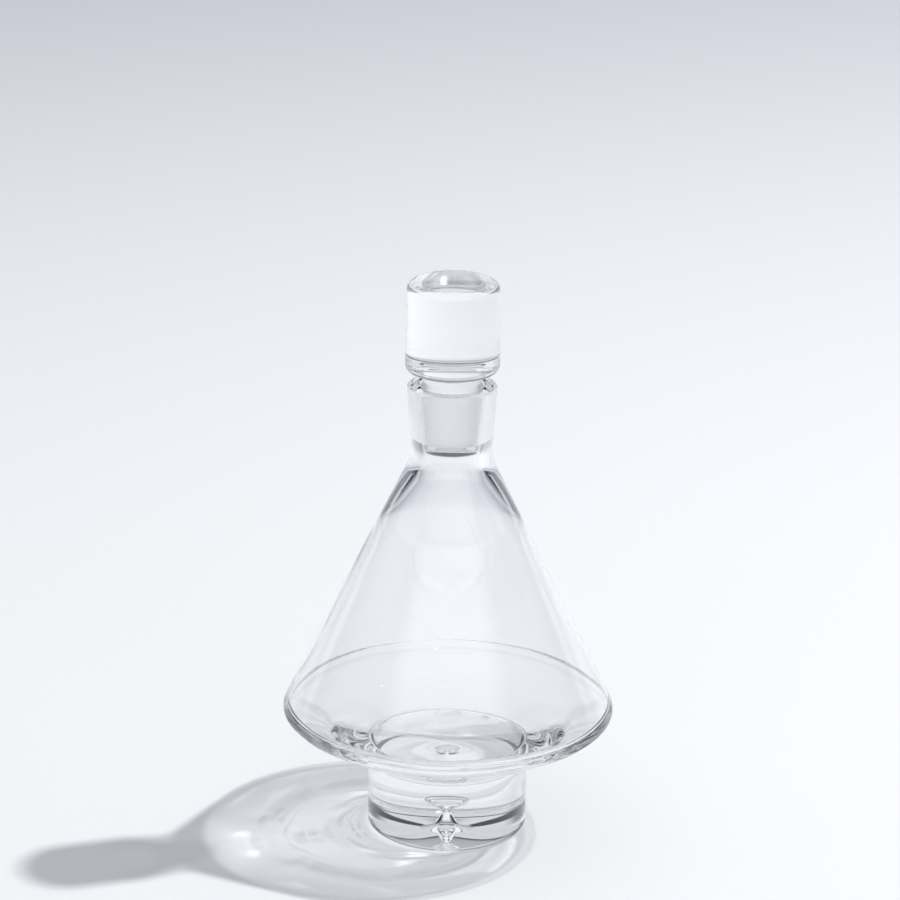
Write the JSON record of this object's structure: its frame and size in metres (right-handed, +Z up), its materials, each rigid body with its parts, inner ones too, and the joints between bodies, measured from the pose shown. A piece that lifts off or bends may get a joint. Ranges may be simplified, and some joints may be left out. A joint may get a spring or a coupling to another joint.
{
  "type": "wine decanter",
  "caption": "Clear glass wine decanter: wide conical bowl on a solid foot with an air trap, closed by a heavy ground stopper that lifts straight out.",
  "frame": {"origin": "centre of the foot's underside, on the surface the decanter stands on", "axes": "+Z up along the axis that every piece is turned about; +X to the right and -Y towards the viewer, which are alike on this round part"},
  "size_m": [0.1648, 0.1648, 0.2842],
  "materials": {
    "bowl_glass": "clear polished colourless glass",
    "foot_glass": "clear polished colourless glass, solid",
    "stopper_glass": "clear polished head and collar, fine ground plug"
  },
  "bodies": {
    "vessel": {"bowl": "bowl_glass", "foot": "foot_glass"},
    "stopper": {"stopper": "stopper_glass"}
  },
  "joints": [
    {"name": "stopper_lift", "type": "slide", "parent": "vessel", "child": "stopper", "axis": [0, 0, 1], "range_m": [0, 0.05]}
  ]
}
